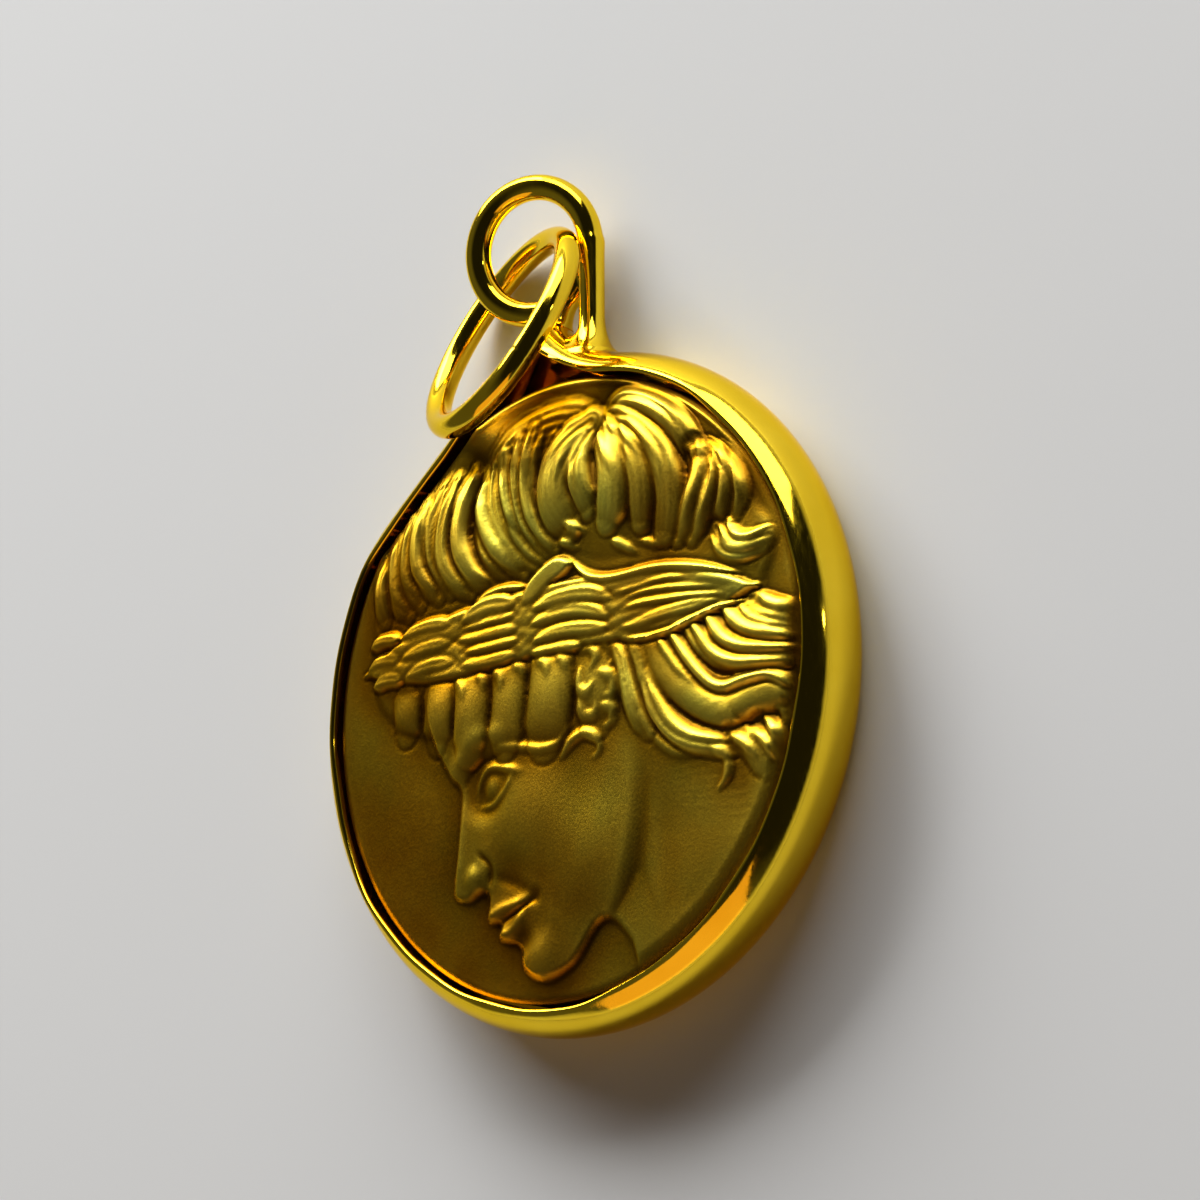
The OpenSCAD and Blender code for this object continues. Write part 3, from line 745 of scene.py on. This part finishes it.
def face_height(xy):
    """Height of the bare head: a low dome with a crisp edge, the face's forms and lines, and the neck."""
    head = inside_depth(from_head(HEAD), xy)
    c, s = math.cos(head_tilt), math.sin(head_tilt)
    in_head = (xy - head_at) @ np.array([[-c, -s], [-s, c]]) / head_scale
    dome = np.sin(np.clip(head / head_dome_r, 0, 1) * math.pi / 2)
    form = head_edge_h * ease(head / 0.28) + head_dome_h * dome
    for at, radius, rise in FACE_FORMS:
        form += rise * ease(1 - np.hypot(*(in_head - at).T) / radius)
    for points, half_width, rise in FACE_LINES:
        line = smooth_line(points)
        near = near_line(line, in_head, half_width * 2)
        along, side = beside(line, in_head[near])
        ends = np.minimum(1, 4 * np.minimum(along + 0.05, 1.05 - along))
        form[near] += rise * ends * np.exp(-(side / (0.6 * half_width)) ** 2)
    jaw = smooth_line(JAW)
    near = near_line(jaw, in_head, 6)
    along, side = beside(jaw, in_head[near])
    form[near] -= jaw_h * ease(side / 0.9) * ease((1 - along) / 0.4) * ease(2.5 - side / 3.5)
    return np.maximum(form, neck_h * ease(head / 0.25)) * (head > 0)


def relief(xy):
    """Height of the coin's face above its field."""
    hair = inside_depth(HAIR, xy)
    mound = mound_h * ease(1 - np.hypot(*(xy - mound_at).T) / mound_r)
    dome = np.sin(np.clip(hair / hair_dome_r, 0, 1) * math.pi / 2)
    mass = (hair_edge_h * ease(hair / 0.4) + hair_dome_h * dome + mound) * (hair > 0)
    form = np.maximum(face_height(xy), mass)
    height = form.copy()
    for roll in ROLLS:
        raise_roll(xy, form, height, *roll)
    rolls = height.copy()
    for lock in LOCKS:
        raise_lock(xy, rolls, height, *lock)
    for leaf in LEAVES:
        raise_leaf(xy, form, height, *leaf)
    r = np.hypot(xy[:, 0], xy[:, 1])
    field = field_wave * np.sin(1.3 * xy[:, 0] + 0.6) * np.sin(1.1 * xy[:, 1] + 1.9)
    bead = bead_line_h * ease((xy[:, 1] - 4) / 4) * np.exp(-((r - coin_r + bead_line_in) / 0.09) ** 2)
    shoulder = shoulder_h * np.clip((r - coin_r) / shoulder_w + 1, 0, 1) ** 2
    struck = tallest * np.tanh(np.maximum(height, -0.05) / tallest) + field
    return struck * ease((coin_r - r) / border_w) + bead - shoulder


def soften(grid, passes):
    """Evens out a grid of heights a little, as striking and wear do."""
    for again in range(passes):
        padded = np.pad(grid, 1, mode="edge")
        grid = 0.2 * (grid + padded[:-2, 1:-1] + padded[2:, 1:-1] + padded[1:-1, :-2] + padded[1:-1, 2:])
    return grid


def flat_edge(turn):
    """How far from the axis the coin's edge lies at each turn, where its flat cuts the round."""
    return np.minimum(coin_r, flat_d / np.maximum(np.cos(turn - flank_turn), 0.5))


def struck_coin():
    """The coin, with how far each point stands out from those round it kept as the attribute standing."""
    bm = bmesh.new()
    bmesh.ops.create_grid(bm, x_segments=cells, y_segments=cells, size=1)
    mesh = bpy.data.meshes.new("coin_satin")
    bm.to_mesh(mesh)
    points = read_points(mesh)
    square = points[:, :2].copy()
    xy = coin_r * square * np.sqrt(1 - square[:, ::-1] ** 2 / 2)
    r = np.hypot(xy[:, 0], xy[:, 1])
    flat = flat_edge(np.arctan2(xy[:, 1], xy[:, 0])) / coin_r
    xy = xy * (1 - (1 - flat) * ease((r - flat_from) / 3))[:, None]
    rise = soften(relief(xy).reshape(cells + 1, cells + 1), 1)
    near_by = soften(rise, 16)
    standing = (rise - 0.6 * near_by - 0.4 * soften(near_by, 320)).ravel()
    points[:, :2] = xy
    points[:, 2] = field_z + rise.ravel()
    bm.free()
    write_points(mesh, points)
    bm = bmesh.new()
    bm.from_mesh(mesh)
    edge = [e for e in bm.edges if e.is_boundary]
    skirt = [
        (skirt_z, 0.0),
        (coin_base + chamfer, 0.0),
        (coin_base, chamfer),
        (coin_base, back_in),
        (coin_base + chamfer, back_in + 2 * chamfer),
    ]
    for level, inwards in skirt:
        made = bmesh.ops.extrude_edge_only(bm, edges=edge)["geom"]
        edge = [g for g in made if isinstance(g, bmesh.types.BMEdge)]
        for v in {v for e in edge for v in e.verts}:
            turn = math.atan2(v.co.y, v.co.x)
            r = flat_edge(turn) - inwards
            v.co = (r * math.cos(turn), r * math.sin(turn), level)
    bmesh.ops.edgeloop_fill(bm, edges=edge)
    bmesh.ops.recalc_face_normals(bm, faces=bm.faces)
    bm.to_mesh(mesh)
    bm.free()
    layer = mesh.attributes.new("standing", "FLOAT", "POINT")
    values = np.zeros(len(mesh.vertices))
    values[:len(standing)] = standing
    layer.data.foreach_set("value", values)
    return mesh


# Painted shade: the coin is darker and browner towards its lower left, from one end of this range along the
# diagonal to the other
shade_from = -11
shade_to = 4

# Tints on the coin: the middle of each, how far it reaches, and its tint. The first darkens the crown,
# painted shade that tones down its highlight
TINTS_AND_SHADE = [
    ((0.3, 9.4), 2.6, (0.30, 0.19, 0.05)),
    ((3.1, 9.5), 1.2, (0.34, 0.30, 0.22)),
    ((-3.0, 8.6), 1.1, (0.30, 0.20, 0.10)),
    ((-6.9, 3.6), 3.6, (0.80, 0.62, 0.36)),
    ((8.6, 6.2), 3.4, (0.66, 0.54, 0.40)),
]


def satin_gold():
    """Satin gold: dark brown in the hollows, partly patina and partly painted shade, brighter where the
    relief is rubbed, with a fine grain.
    """
    finish = Finish("satin_gold")
    attribute = finish.nodes.new("ShaderNodeAttribute")
    attribute.attribute_name = "standing"
    standing = finish.scale(attribute.outputs["Fac"], 0, 1, -0.07, 0.07)
    patches = finish.noise(3.5 * mm, 3.0)
    grain = finish.noise(0.09 * mm, 4.0)
    # Colour by how far each point stands out: patina with painted shade in the hollows, brighter on the
    # rubbed crests
    patina_shade_and_wear = finish.ramp(standing, [
        (0.0, (0.17, 0.08, 0.005)),
        (0.35, (0.40, 0.23, 0.012)),
        (0.55, (0.60, 0.42, 0.035)),
        (1.0, (1.0, 0.80, 0.085)),
    ])
    tone = finish.ramp(patches, [
        (0.32, (0.80, 0.62, 0.42)),
        (0.5, (1.0, 0.93, 0.8)),
        (0.68, (0.86, 0.95, 1.0)),
    ])
    # Painted shade, darker and browner towards the coin's lower left
    diagonal = finish.nodes.new("ShaderNodeVectorMath")
    diagonal.operation = "DOT_PRODUCT"
    diagonal.inputs[1].default_value = (1, 1, 0)
    finish.join(finish.place, diagonal.inputs[0])
    lower_left_shade = finish.ramp(
        finish.scale(diagonal.outputs["Value"], 0, 1, shade_from * mm, shade_to * mm),
        [(0.0, (0.50, 0.37, 0.22)), (0.5, (0.80, 0.72, 0.58)), (1.0, (1.0, 1.0, 1.0))],
    )
    colour = finish.blend(1.0, finish.blend(1.0, patina_shade_and_wear, tone, "MULTIPLY"), lower_left_shade, "MULTIPLY")
    # Each tint darkens round its spot; at the crown this is painted shade
    for spot, radius, spot_tint in TINTS_AND_SHADE:
        reach = finish.nodes.new("ShaderNodeVectorMath")
        reach.operation = "DISTANCE"
        reach.inputs[1].default_value = (spot[0] * mm, spot[1] * mm, field_z * mm)
        finish.join(finish.place, reach.inputs[0])
        cover = finish.scale(reach.outputs["Value"], 0.9, 0, 0.3 * radius * mm, radius * mm)
        colour = finish.blend(cover, colour, finish.blend(1.0, colour, (*spot_tint, 1), "MULTIPLY"))
    finish.set(
        Base_Color=colour,
        Roughness=finish.scale(grain, 0.33, 0.42),
        Specular_Tint=(1.0, 0.82, 0.42, 1),
        Normal=finish.bump(grain, 0.012 * mm, 0.5),
    )
    return finish.material


coin_mesh = struck_coin()
coin = finished_piece("coin_struck", [coin_mesh], 60)
coin.data.materials.append(satin_gold())
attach(coin, "root")
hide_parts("coin")

# Jump ring: a larger ring of the same round gold wire, closed with a soldered seam. It hangs loose in the
# loop, and here it lies with one side on the table and the other on the rim's left flank.
ring_r = 3.68
ring_wire_r = 0.435
ring_at = (-1.567, 12.852, 2.436)
ring_tilt = math.radians(32.2)
ring_turn = math.radians(119.4)
seam_turn = math.radians(200)
seam_depth = 0.045
seam_reach = 0.012


def round_wire_ring():
    """The ring's wire spun once round, a little thinner at its soldered seam, then laid in its place."""
    bm = bmesh.new()
    section = Matrix.Translation((ring_r, 0, 0)) @ Matrix.Rotation(math.pi / 2, 4, "X")
    wire = bmesh.ops.create_circle(bm, segments=36, radius=ring_wire_r, matrix=section)["verts"]
    edges = list({e for v in wire for e in v.link_edges})
    bmesh.ops.spin(bm, geom=wire + edges, cent=(0, 0, 0), axis=(0, 0, 1), angle=math.tau, steps=360,
                   use_merge=True)
    for v in bm.verts:
        turn = math.atan2(v.co.y, v.co.x) % math.tau
        middle = Vector((math.cos(turn), math.sin(turn), 0)) * ring_r
        seam = seam_depth * math.exp(-((turn - seam_turn) / seam_reach) ** 2)
        v.co = middle + (v.co - middle) * (1 - seam)
    lean = Matrix.Rotation(ring_turn, 4, "Z") @ Matrix.Rotation(ring_tilt, 4, "Y")
    bmesh.ops.transform(bm, matrix=Matrix.Translation(ring_at) @ lean, verts=bm.verts)
    bmesh.ops.recalc_face_normals(bm, faces=bm.faces)
    mesh = bpy.data.meshes.new("jump_ring")
    bm.to_mesh(mesh)
    bm.free()
    return mesh


ring = finished_piece("jump_ring_wire", [round_wire_ring()], 60)
ring.data.materials.append(gold)
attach(ring, "root")
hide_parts("jump_ring")

# Table and light: a plain pale table, two large soft boxes beyond the loop, a small one on the right, a
# warm one on the near side, and a room that is pale near the horizon and dark overhead.
table_size = 3.0
dark_towards = (0.75, 0.10, 0.65)


def pale_table():
    """A wide plain sheet that the pendant lies on."""
    bm = bmesh.new()
    bmesh.ops.create_grid(bm, x_segments=1, y_segments=1, size=table_size)
    mesh = bpy.data.meshes.new("table")
    bm.to_mesh(mesh)
    bm.free()
    table = bpy.data.objects.new("table", mesh)
    bpy.context.scene.collection.objects.link(table)
    material = bpy.data.materials.new("pale_table")
    material.use_nodes = True
    shader = material.node_tree.nodes["Principled BSDF"]
    shader.inputs["Base Color"].default_value = (0.64, 0.65, 0.65, 1)
    shader.inputs["Roughness"].default_value = 0.75
    mesh.materials.append(material)
    return table


def soft_box(name, towards, distance, width, height, power, colour=(1, 1, 1)):
    """A soft box that faces the pendant."""
    data = bpy.data.lights.new(name, "AREA")
    data.shape = "RECTANGLE"
    data.size = width
    data.size_y = height
    data.energy = power
    data.color = colour
    box = bpy.data.objects.new(name, data)
    away = Vector(towards).normalized()
    box.location = away * distance
    box.rotation_euler = away.to_track_quat("Z", "Y").to_euler()
    bpy.context.scene.collection.objects.link(box)


def room():
    """The room's own glow: dim walls, darkest overhead on the right, and a pale band near the horizon."""
    world = bpy.data.worlds.new("room")
    bpy.context.scene.world = world
    world.use_nodes = True
    nodes, links = world.node_tree.nodes, world.node_tree.links
    split = nodes.new("ShaderNodeSeparateXYZ")
    direction = nodes.new("ShaderNodeTexCoord").outputs["Generated"]
    links.new(direction, split.inputs["Vector"])
    dark_side = nodes.new("ShaderNodeVectorMath")
    dark_side.operation = "DOT_PRODUCT"
    dark_side.inputs[1].default_value = Vector(dark_towards).normalized()
    links.new(direction, dark_side.inputs[0])
    walls = nodes.new("ShaderNodeMapRange")
    walls.inputs["From Min"].default_value = 0.15
    walls.inputs["From Max"].default_value = 0.55
    walls.inputs["To Min"].default_value = 0.09
    walls.inputs["To Max"].default_value = 0.01
    links.new(dark_side.outputs["Value"], walls.inputs["Value"])
    horizon = nodes.new("ShaderNodeMapRange")
    horizon.inputs["From Min"].default_value = 0.04
    horizon.inputs["From Max"].default_value = 0.16
    horizon.inputs["To Min"].default_value = 0.5
    horizon.inputs["To Max"].default_value = 0.0
    links.new(split.outputs["Z"], horizon.inputs["Value"])
    both = nodes.new("ShaderNodeMath")
    both.operation = "ADD"
    links.new(walls.outputs["Result"], both.inputs[0])
    links.new(horizon.outputs["Result"], both.inputs[1])
    links.new(both.outputs["Value"], nodes["Background"].inputs["Strength"])
    nodes["Background"].inputs["Color"].default_value = (1, 1, 1, 1)


table = pale_table()
soft_box("light_beyond", (0.12, 0.91, 0.39), 0.6, 0.72, 0.32, 4.2)
soft_box("light_left", (-0.44, 0.83, 0.34), 0.6, 0.44, 0.26, 5.0)
soft_box("light_right", (0.962, 0.20, 0.185), 0.7, 0.04, 0.04, 0.09)
soft_box("light_near", (-0.13, -0.90, 0.38), 0.6, 0.60, 0.40, 0.6, (1.0, 0.55, 0.22))
room()
bpy.context.scene.view_settings.view_transform = "Standard"
